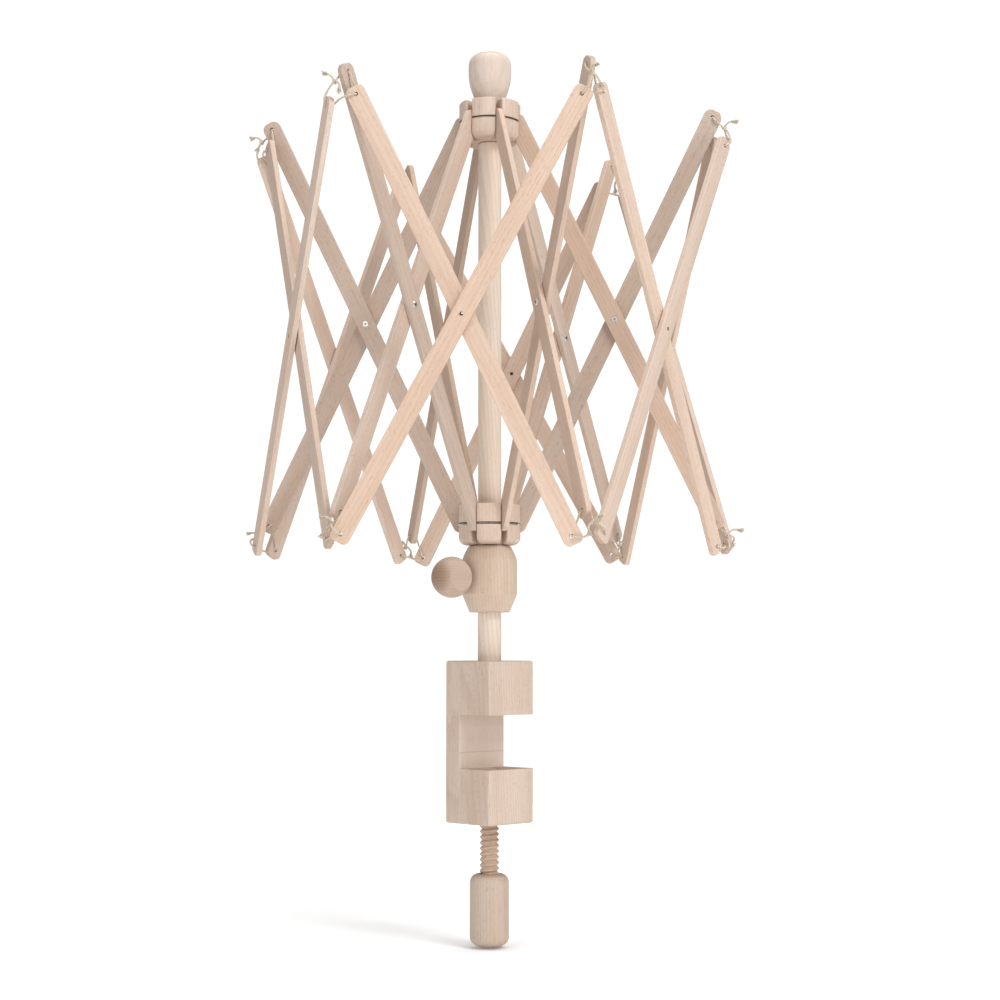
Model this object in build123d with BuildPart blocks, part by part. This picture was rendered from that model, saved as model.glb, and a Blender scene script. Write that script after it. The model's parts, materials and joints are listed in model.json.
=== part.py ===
from build123d import *
from math import asin, cos, degrees, hypot, radians, sin, tan
import os

# Umbrella yarn swift in beech, all sizes in millimetres.
# Origin: on the shaft's axis, on the underside of the clamp's upper jaw, which rests on the table.
# +Z runs up the shaft and the jaws open towards +X.
# Azimuths are counted from -Y towards +X, so azimuth 90 is +X.

# Slats
slat_pitch = 350.0        # end hole to end hole
slat_width = 14.0
slat_thickness = 4.2
slat_edge = 0.5           # eased edges
arm_end = 5.6             # wood beyond an arm slat's end hole
arm_corner_r = 5.4
lattice_end = 6.0
lattice_corner_r = 4.0
string_hole_r = 1.5       # end holes, and the spare middle hole of the outer lattice
rivet_hole_r = 1.7
slat_gap = 0.3            # between the two slats of a riveted pair

# Fold
arm_count = 6
arm_azimuth = 68.0        # azimuth of arm 0
arm_step = 360.0 / arm_count
fold_angle = 25.8         # slats from the vertical, as the swift stands
pivot_radius = 21.3       # slat pivots from the shaft's axis
upper_hub_z = 461.0

# Hubs and their wire rings
hub_radius = 24.0
hub_top = 15.2            # above the ring
hub_bottom = -16.0
hub_top_edge = 1.0
hub_bottom_edge = 6.0
slot_floor = 13.6
slot_width = 4.9
slot_edge = 1.0           # rounded mouths of the slots
groove_height = 1.9
groove_floor = 20.3
wire_r = 0.6
turning_gap = 0.3         # a hub's bore round the shaft

# Shaft and finial
shaft_r = 9.0
neck_r = 6.0
shaft_socket = 30.0       # how deep the shaft is glued into the clamp
glue_gap = 0.05
shoulder_gap = 0.3
finial_gap = 0.8
finial_height = 40.3
finial_foot_r = 11.0
finial_r = 16.8
finial_widest = 27.0      # above its foot
finial_bore = 22.0

# Collar and thumbscrew
collar_height = 51.3
collar_r = 21.2
collar_top_r = 15.8
collar_foot_r = 15.5
collar_shoulder = 14.0    # height of the domed top
collar_taper = 14.0       # height of the conical foot
collar_gap = 0.4          # under the lower hub
thumb_azimuth = -5.0
thumb_drop = 25.2         # knob's centre below the collar's top
thumb_reach = 37.5        # knob's centre from the shaft's axis
knob_r = 15.6
knob_across_flats = 23.0
stem_r = 3.0
stem_fit = 0.05
stem_in_knob = 9.0

# Table clamp
block_side = 48.0
block_edge = 1.8
upper_jaw = 41.0
jaw_opening = 41.0
lower_jaw = 41.5
spine = 15.5
screw_r = 7.4
screw_root_r = 5.9
screw_pitch = 4.25
screw_play = 0.4          # round the screw in the lower jaw
screw_tip_drop = 4.0      # tip below the lower jaw's upper face
screw_shown = 38.2        # thread between the jaw and the handle
screw_in_handle = 22.0
handle_height = 54.1
handle_r = 14.9
handle_edge = 6.5

# Rivets
rivet_r = 1.65
rivet_head_r = 2.5
rivet_head = 0.6
rivet_head_slope = 35.0   # degrees
rivet_bore_r = 0.9
rivet_gap = 0.1           # under each head

# String ties and how the outer lattice hangs in them
string_r = 0.55
string_bend = 2.2
string_clear = 1.1        # string's axis off a slat's face
inner_hole_side = 11.9    # hole of an inner lattice slat from the arm's plane
outer_hole_side = 7.2
inner_drop = 18.5         # top holes below the arm's tip
outer_drop = 25.0
lattice_gap = 0.8         # between the crossing slats of the outer lattice
knot_r = 1.7

# Worked out from the above
half_sector = radians(arm_step / 2)
slat_side = (slat_thickness + slat_gap) / 2
ring_radius = hypot(pivot_radius, slat_side)
fold_height = slat_pitch * cos(radians(fold_angle))
tip_radius = pivot_radius + slat_pitch * sin(radians(fold_angle))
lower_hub_z = upper_hub_z - fold_height
inner_stand = 2 * inner_hole_side / cos(half_sector) - pivot_radius
outer_stand = inner_stand + (slat_thickness + lattice_gap) / cos(half_sector)
outer_span = tip_radius + outer_stand - 2 * outer_hole_side / cos(half_sector)
outer_angle = degrees(asin(outer_span / slat_pitch))
outer_drop_bottom = outer_drop + slat_pitch * cos(radians(outer_angle)) - fold_height
collar_top_z = lower_hub_z + hub_bottom - collar_gap
thumb_z = collar_top_z - thumb_drop
block_bottom = -jaw_opening - lower_jaw
screw_top = -jaw_opening - screw_tip_drop
handle_top = block_bottom - screw_shown
up = Vector(0, 0, 1)


def outward(azimuth):
    """Horizontal unit vector away from the shaft at an azimuth."""
    return Vector(sin(radians(azimuth)), -cos(radians(azimuth)), 0)


def sideways(azimuth):
    """Horizontal unit vector square to outward, towards higher azimuths."""
    return Vector(cos(radians(azimuth)), sin(radians(azimuth)), 0)


def save(part, name):
    part.label = name
    export_step(part, f"parts/{name}.step")


def make_slat(middle, along, normal, middle_hole_r, end, corner_r):
    """Flat slat with rounded corners, centred on middle, its length along a direction."""
    plane = Plane(origin=middle, x_dir=along, z_dir=normal)
    with BuildPart(plane) as slat:
        with BuildSketch(plane):
            RectangleRounded(slat_pitch + 2 * end, slat_width, corner_r)
        extrude(amount=slat_thickness / 2, both=True)
        fillet(slat.faces().filter_by(plane).edges(), slat_edge)
        with Locations((-slat_pitch / 2, 0, 0), (slat_pitch / 2, 0, 0)):
            Hole(string_hole_r)
        with Locations((0, 0, 0)):
            Hole(middle_hole_r)
    return slat.part


def on_slot_mouth(edge, radius):
    """Whether an edge is where a slot's side meets a hub's turned surface."""
    upright = all(hypot(vertex.X, vertex.Y) > radius - 0.01 for vertex in edge.vertices())
    return edge.geom_type == GeomType.BSPLINE or edge.geom_type == GeomType.LINE and upright


def make_hub(ring_z, bore_r, slot_side):
    """Turned hub with six sawn slots and a groove for the wire ring."""
    with BuildPart() as hub:
        with BuildSketch(Plane.XZ):
            with BuildLine():
                Polyline(
                    (bore_r, ring_z + hub_bottom),
                    (hub_radius, ring_z + hub_bottom),
                    (hub_radius, ring_z + hub_top),
                    (bore_r, ring_z + hub_top),
                    close=True,
                )
            make_face()
        revolve(axis=Axis.Z)
        rims = hub.edges().filter_by(GeomType.CIRCLE).filter_by(lambda rim: rim.radius > bore_r + 1)
        fillet(rims.sort_by(Axis.Z)[-1], hub_top_edge)
        fillet(rims.sort_by(Axis.Z)[0], hub_bottom_edge)
        with BuildSketch(Plane.XY.offset(ring_z - groove_height / 2)):
            Circle(hub_radius + 1)
            Circle(groove_floor, mode=Mode.SUBTRACT)
        extrude(amount=groove_height, mode=Mode.SUBTRACT)
        slot_length = hub_radius + 1 - slot_floor
        with BuildSketch(Plane.XY.offset(ring_z + hub_bottom - 1)):
            with PolarLocations(0, arm_count, start_angle=arm_azimuth - 90):
                with Locations((slot_floor + slot_length / 2, slot_side)):
                    Rectangle(slot_length, slot_width)
        extrude(amount=hub_top - hub_bottom + 2, mode=Mode.SUBTRACT)
        mouths = hub.edges().filter_by(lambda edge: on_slot_mouth(edge, hub_radius))
        fillet(mouths, slot_edge)
    return hub.part


def make_ring(ring_z):
    """Wire ring that every slat of a hub turns on."""
    with BuildPart() as ring:
        with BuildSketch(Plane.XZ):
            with Locations((ring_radius, ring_z)):
                Circle(wire_r)
        revolve(axis=Axis.Z)
    return ring.part


def corner_radii(points):
    """An arc for each corner of a route: the string's own bend, or less where the runs are short."""
    radii = []
    for before, corner, after in zip(points, points[1:], points[2:]):
        turn = radians((corner - before).get_angle(after - corner))
        run = min((corner - before).length, (after - corner).length)
        radii.append(min(string_bend, 0.45 * run / tan(turn / 2)))
    return radii


def make_tie(tip, azimuth, side, inner_low, outer_low):
    """String loop through an arm's tip and two lattice slats, closed by its knot, with two tails.

    side is 1 at a top tip, where the inner slat lies towards higher azimuths, and -1 at a bottom tip.
    """
    out = outward(azimuth)
    across = sideways(azimuth) * side
    face = slat_thickness / 2 + string_clear
    inner_hole = (inner_stand - inner_hole_side * tan(half_sector), inner_hole_side)
    outer_hole = (outer_stand - outer_hole_side * tan(half_sector), -outer_hole_side)
    knot = (9.0, -0.4, -9.0)
    # The knot's pole and seam are turned clear of the strings that enter it
    knot_pole = out * 0.8 + across * 0.62 + up * 0.33
    knot_seam = out * 0.24 + across * 0.5 - up * 0.9

    def at_inner(off):
        return (inner_hole[0] + off * cos(half_sector), inner_hole[1] + off * sin(half_sector), -inner_low)

    def at_outer(off):
        return (outer_hole[0] + off * cos(half_sector), outer_hole[1] - off * sin(half_sector), -outer_low)

    def place(point):
        return tip + out * point[0] + across * point[1] + up * point[2]

    def run(points):
        placed = [place(point) for point in points]
        with BuildPart() as string:
            with BuildLine() as path:
                FilletPolyline(*placed, radius=corner_radii(placed))
            with BuildSketch(Plane(origin=path.line @ 0, z_dir=path.line % 0)):
                Circle(string_r)
            sweep(path=path.line)
        return string.part

    loop = run([
        (knot[0] - 0.8, knot[1] - 0.2, knot[2] + 0.5),
        (2.4, -1.9, -3.2),
        (0.0, slat_side - face, 0.0),
        (0.0, slat_side + face, 0.0),
        (-1.6, 7.2, -7.5),
        at_inner(-face),
        at_inner(face + 0.6),
        (6.2, 8.3, -(inner_low + 1.5)),
        (7.6, 2.6, -(inner_low + outer_low) / 2),
        at_outer(-face),
        at_outer(face + 0.9),
        (15.6, -3.6, 6.5 - outer_low),
        (knot[0] + 0.9, knot[1] - 0.2, knot[2] - 0.4),
    ])
    tail = run([
        (knot[0] + 0.1, knot[1] + 0.95, knot[2] + 0.1),
        (knot[0] + 0.7, knot[1] + 4.0, knot[2] - 1.4),
        (knot[0] + 2.2, knot[1] + 5.6, knot[2] - 5.2),
    ])
    other_tail = run([
        (knot[0] + 0.45, knot[1] + 0.1, knot[2] + 0.85),
        (knot[0] + 2.6, knot[1] - 0.9, knot[2] + 3.4),
        (knot[0] + 5.4, knot[1] - 1.2, knot[2] + 4.2),
    ])
    with BuildPart() as tie:
        with Locations(Plane(origin=place(knot), x_dir=knot_seam, z_dir=knot_pole)):
            Sphere(knot_r)
        add(loop)
        add(tail)
        add(other_tail)
    return tie.part


def save_round(part, name):
    """The same piece at all six arms."""
    for arm in range(arm_count):
        save(part.rotate(Axis.Z, arm * arm_step), f"{name}_{arm}")


os.makedirs("parts", exist_ok=True)

# Table clamp: a square block sawn to a C
with BuildPart() as clamp_block:
    with BuildSketch(Plane.XY.offset(block_bottom)):
        Rectangle(block_side, block_side)
    extrude(amount=upper_jaw - block_bottom)
    fillet(clamp_block.edges(), block_edge)
    with BuildSketch(Plane.XY.offset(-jaw_opening)):
        with Locations((spine, 0)):
            Rectangle(block_side, block_side + 2)
    extrude(amount=jaw_opening, mode=Mode.SUBTRACT)
    with BuildSketch(Plane.XY.offset(upper_jaw - shaft_socket)):
        Circle(shaft_r + glue_gap)
    extrude(amount=shaft_socket, mode=Mode.SUBTRACT)
    with BuildSketch(Plane.XY.offset(block_bottom)):
        Circle(screw_r + screw_play)
    extrude(amount=lower_jaw, mode=Mode.SUBTRACT)
save(clamp_block.part, "clamp_block")

# Shaft: a dowel with a thinner neck that the upper hub turns on
shaft_foot = upper_jaw - shaft_socket + glue_gap
shoulder_z = upper_hub_z + hub_bottom - shoulder_gap
finial_foot = upper_hub_z + hub_top + finial_gap
neck_top = finial_foot + finial_bore - 1.0
with BuildPart() as shaft:
    with BuildSketch(Plane.XY.offset(shaft_foot)):
        Circle(shaft_r)
    extrude(amount=shoulder_z - shaft_foot)
    chamfer(shaft.edges().filter_by(GeomType.CIRCLE), 0.6)
    with BuildSketch(Plane.XY.offset(shoulder_z)):
        Circle(neck_r)
    extrude(amount=neck_top - shoulder_z)
save(shaft.part, "shaft")

# Finial: turned cap glued on the neck, which keeps the upper hub on
with BuildPart() as finial:
    with BuildSketch(Plane.XZ):
        with BuildLine():
            foot = Line((0, finial_foot), (finial_foot_r - 1.2, finial_foot))
            rim = TangentArc(foot @ 1, (finial_foot_r, finial_foot + 1.4), tangent=(1, 0))
            flare = Spline(
                rim @ 1,
                (finial_r - 2.2, finial_foot + 0.4 * finial_widest),
                (finial_r - 0.7, finial_foot + 0.62 * finial_widest),
                (finial_r, finial_foot + finial_widest),
                tangents=((0.4, 1), (0, 1)),
            )
            crown = Spline(
                flare @ 1,
                (finial_r - 1.0, finial_foot + finial_height - 5.9),
                (finial_r - 3.7, finial_foot + finial_height - 2.6),
                (finial_r - 8.5, finial_foot + finial_height - 0.7),
                (0, finial_foot + finial_height),
                tangents=((0, 1), (-1, 0)),
            )
            Line(crown @ 1, (0, finial_foot))
        make_face()
    revolve(axis=Axis.Z)
    with BuildSketch(Plane.XY.offset(finial_foot)):
        Circle(neck_r + glue_gap)
    extrude(amount=finial_bore, mode=Mode.SUBTRACT)
save(finial.part, "finial")

# Hubs: the upper one turns on the neck, the lower one turns and slides on the shaft
save(make_hub(upper_hub_z, neck_r + turning_gap, -slat_side), "upper_hub")
save(make_hub(lower_hub_z, shaft_r + turning_gap, slat_side), "lower_hub")
save(make_ring(upper_hub_z), "upper_wire_ring")
save(make_ring(lower_hub_z), "lower_wire_ring")

# Collar that holds the swift open
with BuildPart() as collar:
    with BuildSketch(Plane.XZ):
        with BuildLine():
            top = Line((shaft_r + turning_gap, collar_top_z), (collar_top_r - 1.0, collar_top_z))
            dome = Spline(
                top @ 1,
                (collar_top_r + 1.6, collar_top_z - 2.6),
                (collar_r, collar_top_z - collar_shoulder),
                tangents=((1, -0.25), (0, -1)),
            )
            wall = Line(dome @ 1, (collar_r, collar_top_z - collar_height + collar_taper))
            cone = Line(wall @ 1, (collar_foot_r, collar_top_z - collar_height))
            base = Line(cone @ 1, (shaft_r + turning_gap, collar_top_z - collar_height))
            Line(base @ 1, top @ 0)
        make_face()
    revolve(axis=Axis.Z)
    outer_rims = collar.edges().filter_by(GeomType.CIRCLE).filter_by(lambda rim: rim.radius > shaft_r + 1)
    fillet(outer_rims.sort_by(Axis.Z)[:2], 0.9)
    stem_axis = Plane(origin=up * thumb_z, z_dir=outward(thumb_azimuth))
    with BuildSketch(stem_axis):
        Circle(stem_r + stem_fit)
    extrude(amount=collar_r + 1, mode=Mode.SUBTRACT)
save(collar.part, "collar")

# Thumbscrew: ball knob with two finger flats on a dowel stem
knob_centre = up * thumb_z + outward(thumb_azimuth) * thumb_reach
knob_plane = Plane(origin=knob_centre, x_dir=sideways(thumb_azimuth), z_dir=outward(thumb_azimuth))
with BuildPart() as thumb_knob:
    with Locations(knob_centre):
        Sphere(knob_r)
    with BuildSketch(knob_plane.offset(-knob_r - 1)):
        Rectangle(knob_across_flats, 2 * knob_r + 2)
    extrude(amount=2 * knob_r + 2, mode=Mode.INTERSECT)
    fillet(thumb_knob.edges().filter_by(GeomType.CIRCLE), 0.8)
    with BuildSketch(knob_plane.offset(-knob_r - 1)):
        Circle(stem_r + glue_gap)
    extrude(amount=stem_in_knob + 1.2, mode=Mode.SUBTRACT)
save(thumb_knob.part, "thumb_knob")

stem_start = shaft_r + turning_gap
stem_end = thumb_reach - knob_r + stem_in_knob
with BuildPart() as thumb_stem:
    with BuildSketch(stem_axis.offset(stem_start)):
        Circle(stem_r)
    extrude(amount=stem_end - stem_start)
    chamfer(thumb_stem.edges().filter_by(GeomType.CIRCLE), 0.5)
save(thumb_stem.part, "thumb_stem")

# Clamp screw: wooden thread up through the lower jaw, glued in its handle
thread_foot = handle_top - screw_in_handle
thread_depth = screw_r - screw_root_r
thread_run_out = 2 * screw_pitch
ridge_half = 0.45 * screw_pitch
crest_half = 0.1 * screw_pitch
with BuildPart() as thread_ridge:
    with BuildLine(Plane.XY.offset(thread_foot - screw_pitch)) as helix:
        Helix(pitch=screw_pitch, height=screw_top - thread_foot + 2 * screw_pitch, radius=screw_root_r)
    with BuildSketch(Plane(origin=helix.line @ 0, x_dir=(1, 0, 0), z_dir=helix.line % 0)):
        Polygon(
            (-0.05, -ridge_half),
            (thread_depth, -crest_half),
            (thread_depth, crest_half),
            (-0.05, ridge_half),
            align=None,
        )
    sweep(path=helix.line, is_frenet=True)
with BuildPart() as clamp_screw:
    with BuildSketch(Plane.XY.offset(thread_foot - thread_run_out)):
        Circle(screw_root_r)
    extrude(amount=screw_top - thread_foot + 2 * thread_run_out)
    add(thread_ridge.part)
    with BuildSketch(Plane.XY.offset(thread_foot)):
        Circle(screw_r + 1)
    extrude(amount=-3 * screw_pitch, mode=Mode.SUBTRACT)
    with BuildSketch(Plane.XY.offset(screw_top)):
        Circle(screw_r + 1)
    extrude(amount=3 * screw_pitch, mode=Mode.SUBTRACT)
save(clamp_screw.part, "clamp_screw")

with BuildPart() as clamp_handle:
    with BuildSketch(Plane.XY.offset(handle_top - handle_height)):
        Circle(handle_r)
    extrude(amount=handle_height)
    fillet(clamp_handle.edges().filter_by(GeomType.CIRCLE), handle_edge)
    with BuildSketch(Plane.XY.offset(handle_top - screw_in_handle - 0.5)):
        Circle(screw_r + glue_gap)
    extrude(amount=screw_in_handle + 0.5, mode=Mode.SUBTRACT)
save(clamp_handle.part, "clamp_handle")

# Arms: an upper slat and a lower slat, riveted where they cross
tilt = radians(fold_angle)
out = outward(arm_azimuth)
side = sideways(arm_azimuth)
crossing = out * (pivot_radius + tip_radius) / 2 + up * (upper_hub_z - fold_height / 2)
down_out = out * sin(tilt) - up * cos(tilt)
up_out = out * sin(tilt) + up * cos(tilt)
upper_slat = make_slat(crossing - side * slat_side, down_out, side, rivet_hole_r, arm_end, arm_corner_r)
save_round(upper_slat, "arm_upper")
lower_slat = make_slat(crossing + side * slat_side, up_out, side, rivet_hole_r, arm_end, arm_corner_r)
save_round(lower_slat, "arm_lower")

# Tubular rivet with a head on each outer face
reach = slat_side + slat_thickness / 2
with BuildPart() as rivet:
    with BuildSketch(Plane(origin=crossing - side * (reach + rivet_gap), z_dir=side)):
        Circle(rivet_r)
    extrude(amount=2 * (reach + rivet_gap))
    for facing in (side, -side):
        with BuildSketch(Plane(origin=crossing + facing * (reach + rivet_gap), z_dir=facing)):
            Circle(rivet_head_r)
        extrude(amount=rivet_head, taper=rivet_head_slope)
    with BuildSketch(Plane(origin=crossing - side * 2 * reach, z_dir=side)):
        Circle(rivet_bore_r)
    extrude(amount=4 * reach, mode=Mode.SUBTRACT)
save_round(rivet.part, "rivet")

# String ties at the arm's two tips
top_tip = out * tip_radius + up * upper_hub_z
bottom_tip = out * tip_radius + up * lower_hub_z
save_round(make_tie(top_tip, arm_azimuth, 1, inner_drop, outer_drop), "tie_top")
save_round(make_tie(bottom_tip, arm_azimuth, -1, inner_drop, outer_drop_bottom), "tie_bottom")

# Outer lattice: two loose slats that cross between this arm and the next
facing = outward(arm_azimuth + arm_step / 2)
chord = sideways(arm_azimuth + arm_step / 2)
inner_middle = facing * (tip_radius + inner_stand) * cos(half_sector)
inner_middle += up * (upper_hub_z - inner_drop - fold_height / 2)
inner_along = chord * sin(tilt) - up * cos(tilt)
inner_slat = make_slat(inner_middle, inner_along, facing, string_hole_r, lattice_end, lattice_corner_r)
save_round(inner_slat, "lattice_inner")
outer_tilt = radians(outer_angle)
outer_middle = facing * (tip_radius + outer_stand) * cos(half_sector)
outer_middle += up * (upper_hub_z - outer_drop - slat_pitch * cos(outer_tilt) / 2)
outer_along = -chord * sin(outer_tilt) - up * cos(outer_tilt)
outer_slat = make_slat(outer_middle, outer_along, facing, string_hole_r, lattice_end, lattice_corner_r)
save_round(outer_slat, "lattice_outer")
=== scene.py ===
import bpy
import json
import math
import random
import numpy as np
from mathutils import Matrix, Vector


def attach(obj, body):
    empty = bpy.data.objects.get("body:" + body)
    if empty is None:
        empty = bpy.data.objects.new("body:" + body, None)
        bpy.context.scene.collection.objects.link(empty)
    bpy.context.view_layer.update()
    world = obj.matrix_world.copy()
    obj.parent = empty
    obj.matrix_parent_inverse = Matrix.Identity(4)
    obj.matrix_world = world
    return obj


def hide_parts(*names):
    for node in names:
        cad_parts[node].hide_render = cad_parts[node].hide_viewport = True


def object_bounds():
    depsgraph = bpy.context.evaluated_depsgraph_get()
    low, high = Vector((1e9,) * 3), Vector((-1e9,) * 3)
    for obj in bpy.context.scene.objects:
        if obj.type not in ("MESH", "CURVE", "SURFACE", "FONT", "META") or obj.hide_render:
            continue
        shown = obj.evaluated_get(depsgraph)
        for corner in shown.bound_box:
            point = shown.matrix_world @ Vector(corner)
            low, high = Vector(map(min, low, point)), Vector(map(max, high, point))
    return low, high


# Looks of the beech umbrella swift, in metres, in the CAD model's frame. +Z runs up the shaft.
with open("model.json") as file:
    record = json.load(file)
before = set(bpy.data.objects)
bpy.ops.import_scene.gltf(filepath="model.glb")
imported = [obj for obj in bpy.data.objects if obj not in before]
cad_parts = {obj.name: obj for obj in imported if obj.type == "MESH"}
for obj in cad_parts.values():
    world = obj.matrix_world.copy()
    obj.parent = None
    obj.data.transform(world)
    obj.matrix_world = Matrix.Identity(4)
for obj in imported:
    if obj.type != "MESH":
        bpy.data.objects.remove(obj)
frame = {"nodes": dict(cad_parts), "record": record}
cad_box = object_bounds()
NODES = frame["nodes"]
JOINTS = {joint["name"]: joint for joint in frame["record"]["behaviour"]["joints"]}
MOUNTS = {mount["name"]: mount for mount in frame["record"]["mounts"]}

MM = 0.001
UP = Vector((0.0, 0.0, 1.0))
ARMS = 6

# The jaw's inner wall, its painted light, its band of painted shade and saw scorch, and its saw line
JAW_WALL = MOUNTS["table_edge_stop"]["pos_m"][0]
# foot of the darker band at the wall's top: painted shade under the upper jaw, partly saw scorch
SHADE_AND_SCORCH_FOOT = -9.5 * MM
SAW_LINE = -28.65 * MM


# ---------------------------------------------------------------- node graphs

class Graph:
    """Short ways to add and join the nodes of one material."""

    def __init__(self, name):
        self.material = bpy.data.materials.new(name)
        self.material.use_nodes = True
        self.tree = self.material.node_tree
        self.shader = self.tree.nodes["Principled BSDF"]

    def feed(self, value, socket):
        if isinstance(value, bpy.types.NodeSocket):
            self.tree.links.new(value, socket)
        else:
            socket.default_value = value

    def add(self, kind, inputs, **settings):
        node = self.tree.nodes.new("ShaderNode" + kind)
        for key, value in settings.items():
            setattr(node, key, value)
        for key, value in inputs.items():
            self.feed(value, node.inputs[key])
        return node

    def maths(self, operation, first, second=0.0, third=0.0):
        node = self.add("Math", {0: first, 1: second, 2: third}, operation=operation)
        return node.outputs[0]

    def between(self, value, low, high, bottom=0.0, top=1.0):
        """value eased from bottom at low to top at high."""
        ranges = {"Value": value, "From Min": low, "From Max": high, "To Min": bottom, "To Max": top}
        return self.add("MapRange", ranges, interpolation_type="SMOOTHSTEP").outputs[0]

    def band(self, value, low, high, soft):
        """1 from low to high, faded out over soft beyond both."""
        return self.maths(
            "MULTIPLY", self.between(value, low - soft, low), self.between(value, high + soft, high))

    def mix(self, share, first, second, blend="MIX"):
        node = self.add("Mix", {0: share, 6: first, 7: second}, data_type="RGBA", blend_type=blend)
        return node.outputs[2]

    def noise(self, place, stretch, detail=2.0, roughness=0.5, distortion=0.0):
        """Noise with so many features a metre along each of the place's own axes."""
        scaled = self.add("VectorMath", {0: place, 1: stretch}, operation="MULTIPLY").outputs[0]
        amounts = {"Vector": scaled, "Scale": 1.0, "Detail": detail, "Roughness": roughness,
                   "Distortion": distortion}
        return self.add("TexNoise", amounts).outputs["Fac"]

    def finish(self, colour, roughness, height, depth, specular):
        """Joins the colour, the roughness and the relief to the shader."""
        self.feed(colour, self.shader.inputs["Base Color"])
        self.feed(roughness, self.shader.inputs["Roughness"])
        self.shader.inputs["Specular IOR Level"].default_value = specular
        relief = self.add("Bump", {"Height": height, "Distance": depth, "Strength": 1.0})
        self.feed(relief.outputs[0], self.shader.inputs["Normal"])
        return self.material


# ---------------------------------------------------------------- materials

# The first colour below is painted light: the paler beech that the jaw's inner wall is painted with.
BEECH_PAINTED_LIGHT = (0.95, 0.80, 0.66, 1.0)
BEECH_LIGHT = (0.82, 0.665, 0.535, 1.0)
BEECH_MID = (0.735, 0.565, 0.435, 1.0)
BEECH_STREAK = (0.60, 0.425, 0.305, 1.0)
BEECH_FLECK = (0.45, 0.275, 0.175, 1.0)
BEECH_END = (0.56, 0.385, 0.265, 1.0)
BEECH_PORE = (0.33, 0.21, 0.14, 1.0)


def along_z(grain):
    """Euler angles that turn the grain's direction to +Z."""
    return grain.normalized().rotation_difference(UP).to_euler()


def facing(graph, direction):
    """How far a surface faces along or against a direction, from 0 to 1."""
    normal = graph.add("TexCoord", {}).outputs["Normal"]
    cosine = graph.add("VectorMath", {0: normal, 1: direction.normalized()}, operation="DOT_PRODUCT")
    return graph.maths("ABSOLUTE", cosine.outputs["Value"])


def growth_rings(graph, place, growth):
    """The dark late wood of each ring round the tree's centre, which runs up place's Z axis."""
    wobble = graph.maths("MULTIPLY", graph.noise(place, (38, 38, 5), 2.0, 0.5), 3.2)
    flat = graph.add("VectorMath", {0: place, 1: (1.0, 1.0, 0.035)}, operation="MULTIPLY").outputs[0]
    distance = graph.add("VectorMath", {0: flat}, operation="LENGTH").outputs["Value"]
    years = graph.maths("MULTIPLY_ADD", distance, 1.0 / (growth * MM), wobble)
    season = graph.maths("FRACT", years)
    return graph.maths("MULTIPLY", graph.between(season, 0.35, 0.92), graph.between(season, 1.0, 0.94))


def end_grain(graph, place, late_wood):
    """The pored colour of a cut end."""
    pores = graph.noise(place, (3600, 3600, 900), 1.0)
    colour = graph.mix(graph.between(pores, 0.56, 0.70), BEECH_END, BEECH_PORE)
    return graph.mix(graph.maths("MULTIPLY", late_wood, 0.45), colour, BEECH_PORE)


def beech(name, grain, seed, tint=(1.0, 1.0, 1.0), pith=0.03, bearing=None, flecks=0.55, rings=0.35,
          growth=2.3, ends=0.62, extra=None):
    """Sanded, unfinished beech whose fibres run along grain.

    tint is how this board's colour differs from plain beech.
    pith is how far the tree's centre lies beside the piece, which sets how the growth rings curve.
    bearing is the direction of that centre in degrees; without it the piece is cut at random.
    growth is how far apart the growth rings are in millimetres, rings how strongly they show.
    flecks and ends are how strongly the dark flecks and the end grain show.
    extra(graph, colour) may add marks, painted light and painted shade that only this piece has.
    """
    draw = random.Random(seed)
    graph = Graph(name)
    angle = math.radians(draw.uniform(0, 360) if bearing is None else bearing)
    beside = draw.uniform(0.8, 1.2) * pith
    shift = Vector((beside * math.cos(angle), beside * math.sin(angle), draw.uniform(0, 3)))
    place = graph.add("Mapping", {
        "Vector": graph.add("TexCoord", {}).outputs["Object"], "Rotation": along_z(grain), "Location": shift,
    }).outputs[0]

    broad = graph.noise(place, (55, 55, 5), 2.0, 0.55)
    fibre = graph.noise(place, (1100, 1100, 22), 3.0, 0.65)
    fine = graph.noise(place, (2600, 2600, 130), 2.0, 0.6)
    short_flecks = graph.between(graph.noise(place, (1250, 1250, 300), 0.0), 0.66, 0.75, 0.0, flecks * 0.55)
    long_flecks = graph.between(graph.noise(place, (700, 700, 170), 0.0), 0.72, 0.80, 0.0, flecks * 0.25)
    late_wood = growth_rings(graph, place, growth)

    colour = graph.mix(graph.between(broad, 0.30, 0.72), BEECH_LIGHT, BEECH_MID)
    colour = graph.mix(graph.maths("MULTIPLY", late_wood, rings * 0.6), colour, BEECH_STREAK)
    colour = graph.mix(graph.between(fibre, 0.48, 0.78, 0.0, 0.50), colour, BEECH_STREAK)
    colour = graph.mix(graph.between(fine, 0.30, 0.12, 0.0, 0.35), colour, BEECH_LIGHT)
    colour = graph.mix(graph.maths("MAXIMUM", short_flecks, long_flecks), colour, BEECH_FLECK)
    cut_across = graph.between(facing(graph, grain), 0.55, 0.97)
    end_colour = end_grain(graph, place, late_wood)
    colour = graph.mix(graph.maths("MULTIPLY", cut_across, ends), colour, end_colour)
    if extra:
        colour = extra(graph, colour)
    colour = graph.mix(1.0, colour, (*tint, 1.0), "MULTIPLY")

    roughness = graph.between(fibre, 0.2, 0.8, 0.50, 0.64)
    height = graph.maths("ADD", graph.maths("MULTIPLY", fibre, 0.6), graph.maths("MULTIPLY", fine, 0.4))
    height = graph.maths("SUBTRACT", height, graph.maths("MULTIPLY", short_flecks, 0.5))
    return graph.finish(colour, roughness, height, 0.07 * MM, 0.32)


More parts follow.
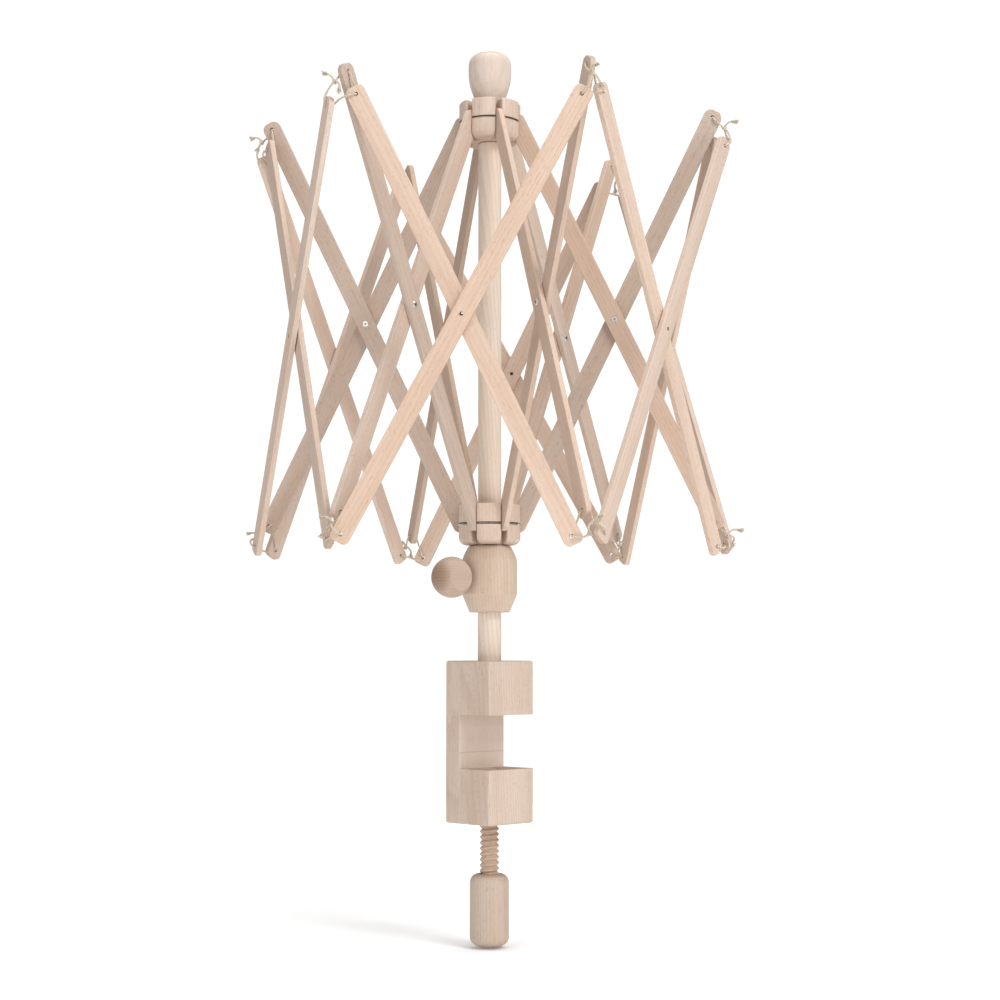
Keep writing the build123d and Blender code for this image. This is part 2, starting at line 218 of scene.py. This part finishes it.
def jaw_wall_light_shade_and_saw_line(graph, colour):
    """Inner wall of the jaw, painted paler as painted light, with a darker band at its top that is painted
    shade under the upper jaw and partly saw scorch, and the line that the saw left there.
    """
    place = graph.add("TexCoord", {}).outputs["Object"]
    parts = graph.add("SeparateXYZ", {"Vector": place})
    wall = graph.band(parts.outputs["X"], JAW_WALL - 0.1 * MM, JAW_WALL + 0.1 * MM, 0.4 * MM)
    bow = graph.maths("MULTIPLY", graph.maths("POWER", parts.outputs["Y"], 2.0), 0.5)
    level = graph.maths("ADD", parts.outputs["Z"], bow)
    # painted shade: the top of the wall, under the upper jaw, darkened and streaked; partly saw scorch
    shade_and_scorch = graph.between(level, SHADE_AND_SCORCH_FOOT - 1.0 * MM, SHADE_AND_SCORCH_FOOT + 1.0 * MM, 0.0, 0.16)
    stripes = graph.noise(place, (60, 60, 2400), 2.0)
    shade_and_scorch = graph.maths("MULTIPLY", shade_and_scorch, graph.between(stripes, 0.35, 0.65, 0.55, 1.0))
    line = graph.band(level, SAW_LINE - 0.25 * MM, SAW_LINE + 0.25 * MM, 0.5 * MM)
    # painted light: the wall mixed half-way to a paler beech, for the light that reaches it
    colour = graph.mix(graph.maths("MULTIPLY", wall, 0.5), colour, BEECH_PAINTED_LIGHT)
    # painted shade and saw scorch darken the wall's top
    colour = graph.mix(graph.maths("MULTIPLY", wall, shade_and_scorch), colour, BEECH_STREAK)
    return graph.mix(graph.maths("MULTIPLY", wall, graph.maths("MULTIPLY", line, 0.3)), colour, BEECH_FLECK)


def finger_flat_highlights(graph, colour):
    """The knob's two sawn flats are painted paler than its turned surface: a painted highlight for the light
    that they catch.
    """
    flat_axis = UP.cross(Vector(JOINTS["thumb_turn"]["axis"]))
    # painted highlight: surfaces that face along the flats' axis are mixed towards pale beech
    flat = graph.between(facing(graph, flat_axis), 0.965, 0.995, 0.0, 0.45)
    return graph.mix(flat, colour, BEECH_LIGHT)


def twine_material():
    """Natural spun twine, greyish beige, with darker and lighter fibres."""
    graph = Graph("twine")
    place = graph.add("TexCoord", {}).outputs["Object"]
    fibres = graph.noise(place, (2600, 2600, 2600), 3.0, 0.7)
    patches = graph.noise(place, (240, 240, 240), 2.0)
    colour = graph.mix(graph.between(fibres, 0.3, 0.7), (0.42, 0.345, 0.265, 1.0), (0.79, 0.70, 0.58, 1.0))
    colour = graph.mix(graph.between(patches, 0.3, 0.7, 0.0, 0.5), colour, (0.63, 0.54, 0.43, 1.0))
    return graph.finish(colour, 0.92, fibres, 0.12 * MM, 0.15)


def steel_material(name, base, rough):
    """Bright drawn steel with faint scratches and dull spots."""
    graph = Graph(name)
    place = graph.add("TexCoord", {}).outputs["Object"]
    scratches = graph.noise(place, (3000, 500, 3000), 3.0, 0.7)
    spots = graph.noise(place, (700, 700, 700), 2.0)
    dull = (base[0] * 0.62, base[1] * 0.60, base[2] * 0.57, 1.0)
    colour = graph.mix(graph.between(spots, 0.45, 0.72, 0.0, 0.7), base, dull)
    graph.shader.inputs["Metallic"].default_value = 1.0
    roughness = graph.between(scratches, 0.3, 0.7, rough, rough + 0.2)
    return graph.finish(colour, roughness, scratches, 0.01 * MM, 0.5)


# ---------------------------------------------------------------- wooden pieces

def paint(node, material):
    """Gives a CAD node one material."""
    mesh = NODES[node].data
    mesh.materials.clear()
    mesh.materials.append(material)


def long_axis(node):
    """Direction of a slat's length, upwards."""
    points = np.array([vertex.co for vertex in NODES[node].data.vertices])
    points = points - points.mean(0)
    axis = Vector(np.linalg.svd(points, full_matrices=False)[2][0])
    return axis if axis.z > 0 else -axis


def slat_looks():
    """Each slat is cut from its own board, so each has its own grain and tone."""
    draw = random.Random(11)
    kinds = (("arm_upper", 0.65), ("arm_lower", 0.65), ("lattice_inner", 0.75), ("lattice_outer", 0.75))
    for number, (kind, darkest) in enumerate(kinds):
        for arm in range(ARMS):
            node = f"{kind}_{arm}"
            lean = Vector((draw.uniform(-1, 1), draw.uniform(-1, 1), 0.0)) * 0.012
            tone = draw.uniform(darkest, darkest + 0.12)
            warmth = draw.uniform(0.96, 1.03)
            board = dict(
                seed=100 + 10 * number + arm,
                tint=(tone, tone * 0.97 * warmth, tone * 0.985 * warmth ** 2),
                pith=draw.uniform(0.012, 0.05),
                flecks=draw.uniform(0.4, 0.7),
                rings=draw.uniform(0.15, 0.45),
            )
            paint(node, beech(f"beech_{node}", long_axis(node) + lean, **board))


UPRIGHT = {
    "shaft": dict(seed=1, tint=(0.97, 1.03, 1.10), pith=0.05, bearing=45, flecks=0.3, rings=0.6, growth=1.3),
    "finial": dict(seed=2, tint=(0.86, 0.91, 0.98), pith=0.035, bearing=-45, flecks=0.3, rings=0.3),
    "upper_hub": dict(seed=3, tint=(0.82, 0.82, 0.85), pith=0.05, bearing=-60, flecks=0.5, rings=0.4),
    "lower_hub": dict(seed=4, tint=(0.80, 0.80, 0.82), pith=0.05, bearing=40, flecks=0.5, rings=0.45),
    "collar": dict(seed=5, tint=(0.77, 0.76, 0.755), pith=0.08, bearing=50, flecks=0.5, rings=0.5,
                   growth=1.8),
    "clamp_handle": dict(seed=7, tint=(0.69, 0.69, 0.70), pith=0.06, bearing=30, flecks=0.5, rings=0.35),
    "clamp_screw": dict(seed=8, tint=(0.72, 0.68, 0.66), pith=0.04, bearing=45, flecks=0.3, rings=0.2),
}
BLOCK = dict(seed=6, tint=(0.78, 0.78, 0.81), pith=0.09, bearing=80, flecks=0.6, rings=0.5, growth=1.9)
BLOCK_GRAIN = Vector((0.015, -0.02, 1.0))
KNOB = dict(seed=9, tint=(0.62, 0.585, 0.585), pith=0.02, flecks=0.6, rings=0.3, ends=0.9)


def turned_looks():
    """Turned and sawn pieces. The thumbscrew's grain runs along its own stem, the others' upwards."""
    for node, board in UPRIGHT.items():
        paint(node, beech(f"beech_{node}", UP, **board))
    paint("clamp_block", beech("beech_block", BLOCK_GRAIN, extra=jaw_wall_light_shade_and_saw_line, **BLOCK))
    stem = Vector(JOINTS["thumb_turn"]["axis"])
    paint("thumb_knob", beech("beech_knob", stem, extra=finger_flat_highlights, **KNOB))
    paint("thumb_stem", beech("beech_stem", stem, seed=10, tint=(0.75, 0.70, 0.68)))


# ---------------------------------------------------------------- twine ties

STRAND_R = 0.47 * MM
TWIST_R = 0.39 * MM       # each strand's axis from the string's axis
TWIST_PITCH = 3.4 * MM
STRING_STEP = 0.42 * MM   # between the cross-sections of a strand
FRAYED = 5.5 * MM         # length of a loose end that comes apart
BRISTLES = 40             # fibres at each loose end
BRISTLE_R = np.linspace(0.20, 0.11, 6) * MM
HAIR_R = np.linspace(0.045, 0.025, 5) * MM
HAIR_GAP = 1.9 * MM       # string for each stray hair
KNOT_R = 1.12 * MM        # about the knot's mean radius

# The ties' routes, in millimetres from the arm's tip
FACE = 3.2                # string's axis off a slat's middle plane
SLAT_SIDE = 2.25          # slat's middle plane from the arm's plane
HALF_SECTOR = math.radians(180 / ARMS)
INNER_HOLE = (-0.69, 11.9)   # a lattice slat's end hole, outwards and across
OUTER_HOLE = (7.80, -7.2)
INNER_DROP = 18.5         # how far the slats' end holes are below the tip
OUTER_DROP_TOP = 25.0
OUTER_DROP_BOTTOM = 16.9
KNOT = (9.0, -0.4, -9.0)


def tie_routes(outer_drop):
    """The loop and its two tails in millimetres: outwards, across and up from the arm's tip."""
    def at_inner(off):
        return (INNER_HOLE[0] + off * math.cos(HALF_SECTOR), INNER_HOLE[1] + off * math.sin(HALF_SECTOR),
                -INNER_DROP)

    def at_outer(off):
        return (OUTER_HOLE[0] + off * math.cos(HALF_SECTOR), OUTER_HOLE[1] - off * math.sin(HALF_SECTOR),
                -outer_drop)

    loop = [
        (KNOT[0] - 0.8, KNOT[1] - 0.2, KNOT[2] + 0.5),
        (2.4, -1.9, -3.2),
        (0.0, SLAT_SIDE - FACE, 0.0),
        (0.0, SLAT_SIDE + FACE, 0.0),
        (-1.6, 7.2, -7.5),
        at_inner(-FACE),
        at_inner(FACE + 0.6),
        (6.2, 8.3, -(INNER_DROP + 1.5)),
        (7.6, 2.6, -(INNER_DROP + outer_drop) / 2),
        at_outer(-FACE),
        at_outer(FACE + 0.9),
        (15.6, -3.6, 6.5 - outer_drop),
        (KNOT[0] + 0.9, KNOT[1] - 0.2, KNOT[2] - 0.4),
    ]
    tail = [
        (KNOT[0] + 0.1, KNOT[1] + 0.95, KNOT[2] + 0.1),
        (KNOT[0] + 0.7, KNOT[1] + 4.0, KNOT[2] - 1.4),
        (KNOT[0] + 2.2, KNOT[1] + 6.0, KNOT[2] - 5.6),
        (KNOT[0] + 4.6, KNOT[1] + 6.6, KNOT[2] - 10.5),
    ]
    other_tail = [
        (KNOT[0] + 0.45, KNOT[1] + 0.1, KNOT[2] + 0.85),
        (KNOT[0] + 2.6, KNOT[1] - 0.9, KNOT[2] + 3.4),
        (KNOT[0] + 6.4, KNOT[1] - 1.6, KNOT[2] + 4.6),
        (KNOT[0] + 11.0, KNOT[1] - 1.2, KNOT[2] + 3.4),
    ]
    return loop, tail, other_tail


def smooth_line(points, cyclic=False):
    """Points along the NURBS spline that has these as its control points."""
    curve = bpy.data.curves.new("route", "CURVE")
    curve.dimensions = "3D"
    spline = curve.splines.new("NURBS")
    spline.points.add(len(points) - 1)
    for target, point in zip(spline.points, points):
        target.co = (*point, 1.0)
    spline.use_cyclic_u = cyclic
    spline.use_endpoint_u = not cyclic
    spline.order_u = 3
    spline.resolution_u = 12
    holder = bpy.data.objects.new("route", curve)
    bpy.context.collection.objects.link(holder)
    bpy.context.view_layer.update()
    mesh = bpy.data.meshes.new_from_object(holder)
    line = [vertex.co.copy() for vertex in mesh.vertices]
    if cyclic:
        line.append(line[0].copy())
    bpy.data.objects.remove(holder)
    bpy.data.curves.remove(curve)
    bpy.data.meshes.remove(mesh)
    return line


def evenly(line, step):
    """The line's points moved to even steps along it."""
    points = np.array(line)
    lengths = np.concatenate([[0.0], np.cumsum(np.linalg.norm(np.diff(points, axis=0), axis=1))])
    count = max(4, int(round(lengths[-1] / step)))
    wanted = np.linspace(0.0, lengths[-1], count + 1)
    return np.stack([np.interp(wanted, lengths, points[:, i]) for i in range(3)], 1), wanted


def frames_along(points):
    """Two directions square to the line at each point that turn as little as they can."""
    steps = np.gradient(points, axis=0)
    tangents = steps / np.linalg.norm(steps, axis=1)[:, None]
    start = Vector(tangents[0]).orthogonal().normalized()
    sides = [np.array(start)]
    for tangent in tangents[1:]:
        side = sides[-1] - tangent * np.dot(sides[-1], tangent)
        sides.append(side / np.linalg.norm(side))
    return np.array(sides), np.cross(tangents, sides)


class Tubes:
    """Gathers the tubes of one tie or one wire into one mesh."""

    def __init__(self, seed):
        self.vertices = []
        self.faces = []
        self.draw = random.Random(seed)

    def tube(self, points, radii, sides):
        """A tube of changing radius along points, closed at both ends."""
        angles = np.linspace(0, 2 * math.pi, sides, endpoint=False)
        base = len(self.vertices)
        for centre, one, two, radius in zip(points, *frames_along(points), radii):
            for angle in angles:
                self.vertices.append(centre + radius * (math.cos(angle) * one + math.sin(angle) * two))
        last = base + (len(points) - 1) * sides
        for low in range(base, last, sides):
            for side in range(sides):
                after = (side + 1) % sides
                self.faces.append((low + side, low + after, low + sides + after, low + sides + side))
        self.faces.append(tuple(base + side for side in reversed(range(sides))))
        self.faces.append(tuple(last + side for side in range(sides)))

    def string(self, line, fray=0.0):
        """Two strands twisted round each other; fray is the length at the end where they come apart."""
        points, along = evenly(line, STRING_STEP)
        one, two = frames_along(points)
        phase = self.draw.uniform(0, 2 * math.pi)
        length = along[-1]
        loose = np.clip((along - (length - fray)) / fray, 0, 1) if fray else np.zeros(len(along))
        long_lumps = 0.10 * np.sin(along / (1.7 * MM) + phase)
        short_lumps = 0.06 * np.sin(along / (0.63 * MM))
        thickness = 1 + long_lumps + short_lumps
        for strand in (0, math.pi):
            turn = 2 * math.pi * along / TWIST_PITCH + phase + strand
            spread = TWIST_R * (1 + 1.6 * loose ** 1.5)
            path = points + (spread * np.cos(turn))[:, None] * one + (spread * np.sin(turn))[:, None] * two
            self.tube(path, STRAND_R * thickness * (1 - 0.5 * loose), 6)
        if fray:
            self.brush(points, one, two)
        self.hairs(points, one, two, int(length / HAIR_GAP))

    def brush(self, points, one, two):
        """Loose fibres that spread towards a cut end."""
        start = int(len(points) * 0.40)
        run = points[-1] - points[start]
        size = np.linalg.norm(run)
        steps = np.linspace(0, 1, len(BRISTLE_R))
        for _ in range(BRISTLES):
            lean = one[-1] * self.draw.uniform(-0.30, 0.30) + two[-1] * self.draw.uniform(-0.30, 0.30)
            reach = self.draw.uniform(0.7, 1.08)
            root = points[start] + (one[start] + two[start]) * self.draw.uniform(-0.35, 0.35) * MM
            path = np.array([root + run * reach * s + lean * size * s * s for s in steps])
            self.tube(path, BRISTLE_R, 4)

    def hairs(self, points, one, two, count):
        """Short stray fibres all along the string."""
        steps = np.linspace(0, 1, len(HAIR_R))
        for _ in range(count):
            at = self.draw.randrange(1, len(points) - 1)
            angle = self.draw.uniform(0, 2 * math.pi)
            away = math.cos(angle) * one[at] + math.sin(angle) * two[at]
            forward = points[at + 1] - points[at - 1]
            forward = forward / np.linalg.norm(forward) * self.draw.choice((-1, 1))
            reach = self.draw.uniform(0.7, 1.7) * MM
            root = points[at] + away * 0.35 * MM
            path = np.array([root + away * reach * (s - 0.35 * s * s) + forward * reach * 0.9 * s * s
                             for s in steps])
            self.tube(path, HAIR_R, 3)

    def piece(self, name, material):
        """All the tubes so far as one smooth object."""
        mesh = bpy.data.meshes.new(name)
        mesh.from_pydata([tuple(vertex) for vertex in self.vertices], [], self.faces)
        mesh.shade_smooth()
        mesh.materials.append(material)
        piece = bpy.data.objects.new(name, mesh)
        bpy.context.collection.objects.link(piece)
        return piece


def knot_line(centre, turn):
    """An overhand knot pulled tight, as a closed trefoil."""
    steps = 36
    trefoil_r = 1.9           # about the mean radius of the formula's line
    size = KNOT_R / trefoil_r
    points = []
    for step in range(steps):
        t = 2 * math.pi * step / steps
        local = Vector((math.sin(t) + 1.7 * math.sin(2 * t), math.cos(t) - 1.7 * math.cos(2 * t),
                        -1.25 * math.sin(3 * t)))
        points.append(centre + turn @ local * size)
    return smooth_line(points, cyclic=True)


def tie(name, joint, side, outer_drop, seed, material):
    """One string tie at an arm's tip, in place of its CAD node."""
    tip = Vector(JOINTS[joint]["pos_m"])
    out = Vector((tip.x, tip.y, 0.0)).normalized()
    across = UP.cross(out) * side
    draw = random.Random(seed)

    def place(point):
        return tip + (out * point[0] + across * point[1] + UP * point[2]) * MM

    twine = Tubes(seed)
    loop, tail, other_tail = tie_routes(outer_drop)
    twine.string(smooth_line([place(point) for point in loop]))
    for route in (tail, other_tail):
        bend = Vector((draw.uniform(-0.8, 0.8), draw.uniform(-0.8, 0.8), draw.uniform(-0.5, 0.5)))
        points = [place(Vector(point) + bend * share) for point, share in zip(route, (0.0, 0.6, 1.8, 3.0))]
        twine.string(smooth_line(points), fray=FRAYED)
    turn = Matrix.Rotation(draw.uniform(0, 3), 3, out) @ Matrix.Rotation(draw.uniform(0, 3), 3, "Z")
    twine.string(knot_line(place(KNOT), turn))
    piece = twine.piece(f"twine_{name}", material)
    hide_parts(name)
    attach(piece, name)


def ties():
    """The twelve ties. On the bottom ones the lattice slats sit on the other side of the arm."""
    material = twine_material()
    for arm in range(ARMS):
        tie(f"tie_top_{arm}", f"top_tie_{arm}", 1, OUTER_DROP_TOP, 300 + arm, material)
        tie(f"tie_bottom_{arm}", f"bottom_tie_{arm}", -1, OUTER_DROP_BOTTOM, 400 + arm, material)


# ---------------------------------------------------------------- metal

WIRE_ENDS_MEET = -14.0    # degrees round the shaft from -Y
TWISTED_SPAN = 23.0       # degrees that the twisted ends take
TWIST_TURNS = 2.6
TWIST_SWING = 0.52 * MM   # each end's axis from the twist's axis


def twisted_ring(node, body, material):
    """The wire ring with its two ends twisted together, which lie along the groove."""
    corners = np.array([vertex.co for vertex in NODES[node].data.vertices])
    reach = np.hypot(corners[:, 0], corners[:, 1])
    radius = (reach.max() + reach.min()) / 2
    wire_r = (reach.max() - reach.min()) / 2
    level = corners[:, 2].mean()
    wire = Tubes(21)

    def at(azimuth, out, rise):
        angle = math.radians(azimuth)
        return np.array([math.sin(angle) * (radius + out), -math.cos(angle) * (radius + out), level + rise])

    round_the_hub = np.linspace(WIRE_ENDS_MEET, WIRE_ENDS_MEET + 359, 180)
    circle = np.array([at(azimuth, 0.0, 0.0) for azimuth in round_the_hub])
    wire.tube(circle, np.full(len(circle), wire_r), 10)
    for end in (0, math.pi):
        path = []
        for step in np.linspace(0, 1, 40):
            turn = end + 2 * math.pi * TWIST_TURNS * step
            swing = TWIST_SWING * min(1.0, step * 5)
            out = (0.4 + 2.6 * step) * MM
            droop = 0.5 * MM * step
            path.append(at(WIRE_ENDS_MEET - TWISTED_SPAN * step, out + swing * math.cos(turn),
                           swing * math.sin(turn) - droop))
        wire.tube(np.array(path), np.full(len(path), wire_r * 0.85), 8)
    piece = wire.piece(f"twisted_{node}", material)
    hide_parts(node)
    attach(piece, body)


def metal_looks():
    """Rivets and wire rings."""
    rivet = steel_material("rivet_steel", (0.80, 0.79, 0.77, 1.0), 0.22)
    wire = steel_material("wire_steel", (0.62, 0.60, 0.58, 1.0), 0.35)
    for arm in range(ARMS):
        paint(f"rivet_{arm}", rivet)
    paint("upper_wire_ring", wire)
    twisted_ring("lower_wire_ring", "lower_hub", wire)


# ---------------------------------------------------------------- studio

FLOOR_RADIUS = 1.4
FLOOR_SIDES = 96
FLOOR_GAP = 2 * MM        # below the handle
AMBIENT = 0.40            # the white world's light on the swift
BACKDROP = 1.05           # and what the camera sees of it
SWIFT_MIDDLE = Vector((0.0, 0.0, 0.2))
SENSOR = 36.0             # the picture's width in the camera, in millimetres
FOCAL = 1.961             # focal length in sensor widths


def camera():
    """Stands 1.5 m off the shaft, level with the clamp's top, and looks a little upwards."""
    distance = 1.513
    height = 0.050
    azimuth = math.radians(45)
    turn = 0.0053
    tilt = 0.0758
    roll = 0.0003
    outwards = Vector((math.sin(azimuth), -math.cos(azimuth), 0.0))
    right = UP.cross(outwards)
    forward = -outwards * math.cos(turn) + right * math.sin(turn)
    right = right * math.cos(turn) + outwards * math.sin(turn)
    lifted = forward * math.cos(tilt) + UP * math.sin(tilt)
    top = UP * math.cos(tilt) - forward * math.sin(tilt)
    side = right * math.cos(roll) + top * math.sin(roll)
    top = top * math.cos(roll) - right * math.sin(roll)
    data = bpy.data.cameras.new("camera")
    data.sensor_width = SENSOR
    data.lens = SENSOR * FOCAL
    data.clip_end = 50.0
    holder = bpy.data.objects.new("camera", data)
    bpy.context.collection.objects.link(holder)
    turned = Matrix((side, top, -lifted)).transposed().to_4x4()
    holder.matrix_world = Matrix.Translation(outwards * distance + UP * height) @ turned
    bpy.context.scene.camera = holder


def area_light(name, place, size, power):
    """A round soft light that points at the swift's middle."""
    data = bpy.data.lights.new(name, "AREA")
    data.shape = "DISK"
    data.size = size
    data.energy = power
    holder = bpy.data.objects.new(name, data)
    bpy.context.collection.objects.link(holder)
    holder.location = place
    holder.rotation_euler = (Vector(place) - SWIFT_MIDDLE).to_track_quat("Z", "Y").to_euler()


def floor_material():
    """Matt white card that shines a little more towards its rim, so that it fades into the backdrop."""
    graph = Graph("floor")
    place = graph.add("TexCoord", {}).outputs["Object"]
    speckle = graph.noise(place, (40, 40, 40), 2.0)
    colour = graph.mix(speckle, (0.93, 0.93, 0.93, 1.0), (0.96, 0.96, 0.96, 1.0))
    radius = graph.add("VectorMath", {0: place}, operation="LENGTH").outputs["Value"]
    glow = graph.between(radius, 0.25, FLOOR_RADIUS * 0.9, 0.12, 0.68)
    graph.feed((1.0, 1.0, 1.0, 1.0), graph.shader.inputs["Emission Color"])
    graph.feed(glow, graph.shader.inputs["Emission Strength"])
    return graph.finish(colour, 0.9, speckle, 0.05 * MM, 0.1)


def plain_floor():
    """Round floor just under the handle."""
    low = cad_box[0][2] - FLOOR_GAP
    corners = []
    for step in range(FLOOR_SIDES):
        angle = 2 * math.pi * step / FLOOR_SIDES
        corners.append((FLOOR_RADIUS * math.cos(angle), FLOOR_RADIUS * math.sin(angle), low))
    mesh = bpy.data.meshes.new("floor")
    mesh.from_pydata(corners, [], [tuple(range(FLOOR_SIDES))])
    mesh.materials.append(floor_material())
    floor = bpy.data.objects.new("floor", mesh)
    bpy.context.collection.objects.link(floor)


def white_world():
    """Soft light from all round. The camera sees it brighter than it lights the swift."""
    world = bpy.data.worlds.new("studio")
    world.use_nodes = True
    tree = world.node_tree
    background = tree.nodes["Background"]
    background.inputs["Color"].default_value = (1.0, 1.0, 1.0, 1.0)
    path = tree.nodes.new("ShaderNodeLightPath")
    strength = tree.nodes.new("ShaderNodeMapRange")
    strength.inputs["To Min"].default_value = AMBIENT
    strength.inputs["To Max"].default_value = BACKDROP
    tree.links.new(path.outputs["Is Camera Ray"], strength.inputs["Value"])
    tree.links.new(strength.outputs[0], background.inputs["Strength"])
    bpy.context.scene.world = world
    bpy.context.scene.view_settings.view_transform = "Standard"


def lights():
    """A little stronger from above and from the right."""
    area_light("key", (2.2, -0.3, 1.9), 1.2, 37)
    area_light("side", (2.4, 0.2, 0.1), 1.2, 8)
    area_light("front", (0.7, -2.4, 0.9), 1.4, 12)
    area_light("top", (0.0, 0.0, 2.6), 1.2, 34)


slat_looks()
turned_looks()
metal_looks()
ties()
camera()
plain_floor()
white_world()
lights()
